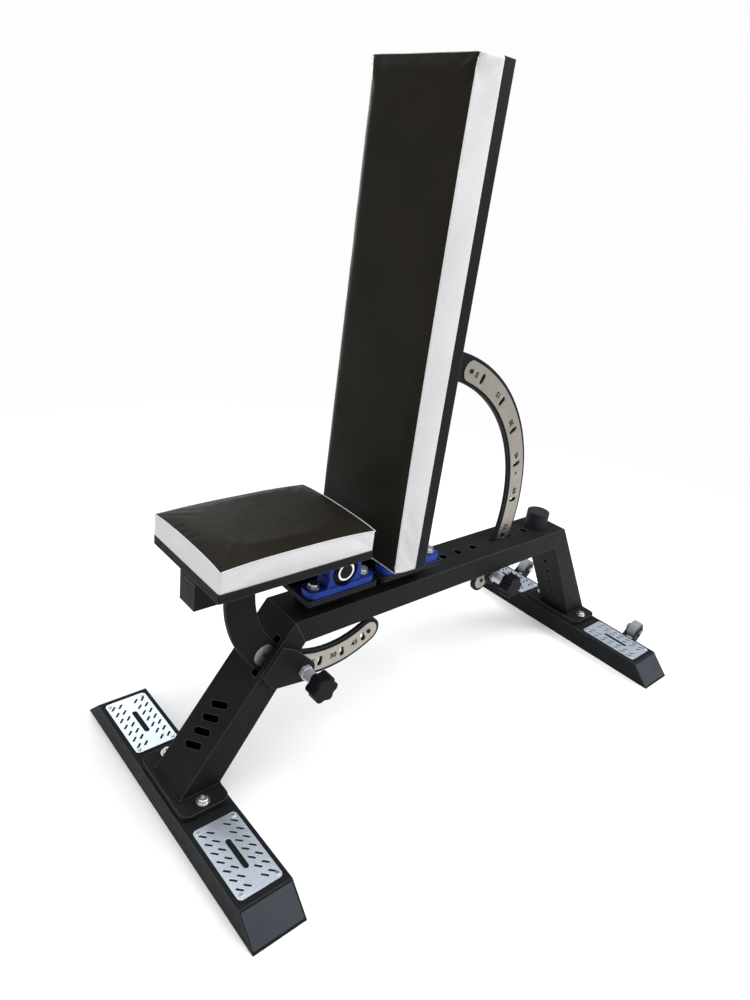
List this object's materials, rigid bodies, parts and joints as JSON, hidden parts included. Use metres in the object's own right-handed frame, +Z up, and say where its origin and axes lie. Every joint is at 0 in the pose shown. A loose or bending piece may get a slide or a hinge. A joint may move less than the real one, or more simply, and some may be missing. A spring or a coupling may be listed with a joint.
{
  "type": "adjustable incline bench",
  "caption": "Adjustable training bench with a tilting seat and backrest on roller bearings, pull-pin locking arcs, crossbar feet and transport wheels.",
  "frame": {"origin": "on the floor, under the middle of the bench's length and width", "axes": "+Z up, -Y towards the seat end, +Y towards the backrest and wheels, +X towards the side with the pull-pin knobs"},
  "size_m": [0.678, 1.406, 1.337],
  "materials": {
    "black_coat": "black textured powder coat",
    "zinc": "zinc plated",
    "tread": "brushed plate",
    "stainless": "brushed stainless scale",
    "housing_blue": "blue enamel on cast iron",
    "bearing_steel": "ground steel",
    "chrome": "polished chrome",
    "black_plastic": "moulded plastic",
    "rubber": "matt rubber",
    "wheel_plastic": "grey plastic",
    "vinyl": "dark brown vinyl with pale sides",
    "plywood": "plywood board"
  },
  "bodies": {
    "frame": {"front_crossbar": "black_coat", "rear_crossbar": "black_coat", "crossbar_ends": "black_coat", "base_plates": "black_coat", "base_bolts": "zinc", "tread_plates": "tread", "tread_screws": "zinc", "front_leg": "black_coat", "rear_leg": "black_coat", "spine": "black_coat", "bumper": "rubber", "bearing_pedestals": "black_coat", "seat_bearing_plate": "black_coat", "backrest_bearing_plate": "black_coat", "seat_housings": "housing_blue", "backrest_housings": "housing_blue", "bearing_outer_rings": "bearing_steel", "bearing_balls": "bearing_steel", "bearing_seals": "black_plastic", "housing_bolts": "zinc", "housing_washers": "zinc", "frame_nuts": "zinc", "seat_pin_cheek": "black_coat", "backrest_pin_cheek": "black_coat", "seat_pin_barrel": "chrome", "backrest_pin_barrel": "chrome", "plunger_springs": "bearing_steel", "wheel_forks": "black_coat", "wheel_axle_bolts": "zinc", "wheel_axle_nuts": "zinc"},
    "seat": {"seat_shaft": "black_coat", "seat_inner_rings": "bearing_steel", "seat_lug": "black_coat", "seat_beam": "black_coat", "seat_beam_caps": "black_plastic", "seat_mount_frame": "black_coat", "seat_tray": "black_coat", "seat_board": "plywood", "seat_pad": "vinyl", "seat_arc": "black_coat", "seat_scale": "stainless", "seat_scale_rivets": "black_coat"},
    "backrest": {"backrest_shaft": "black_coat", "backrest_inner_rings": "bearing_steel", "backrest_lug": "black_coat", "backrest_beam": "black_coat", "backrest_tube_caps": "black_plastic", "backrest_side_rails": "black_coat", "backrest_end_rails": "black_coat", "backrest_board": "plywood", "backrest_pad": "vinyl", "backrest_arc": "black_coat", "backrest_scale": "stainless", "backrest_scale_rivets": "black_coat"},
    "seat_pin": {"seat_pull_pin": "chrome", "seat_knob": "black_plastic"},
    "backrest_pin": {"backrest_pull_pin": "chrome", "backrest_knob": "black_plastic"},
    "right_wheel": {"right_wheel": "wheel_plastic"},
    "left_wheel": {"left_wheel": "wheel_plastic"}
  },
  "joints": [
    {"name": "seat_tilt", "type": "hinge", "parent": "frame", "child": "seat", "pos_m": [0, -0.355, 0.468], "axis": [-1, 0, 0], "range_deg": [0, 30]},
    {"name": "backrest_tilt", "type": "hinge", "parent": "frame", "child": "backrest", "pos_m": [0, -0.169, 0.468], "axis": [-1, 0, 0], "range_deg": [0, 90]},
    {"name": "seat_pin_slide", "type": "slide", "parent": "frame", "child": "seat_pin", "axis": [-1, 0, 0], "range_m": [0, 0.013]},
    {"name": "backrest_pin_slide", "type": "slide", "parent": "frame", "child": "backrest_pin", "axis": [-1, 0, 0], "range_m": [0, 0.013]},
    {"name": "right_wheel_spin", "type": "hinge", "parent": "frame", "child": "right_wheel", "pos_m": [0.203, 0.677, 0.06], "axis": [1, 0, 0], "continuous": true},
    {"name": "left_wheel_spin", "type": "hinge", "parent": "frame", "child": "left_wheel", "pos_m": [-0.203, 0.677, 0.06], "axis": [1, 0, 0], "continuous": true}
  ]
}
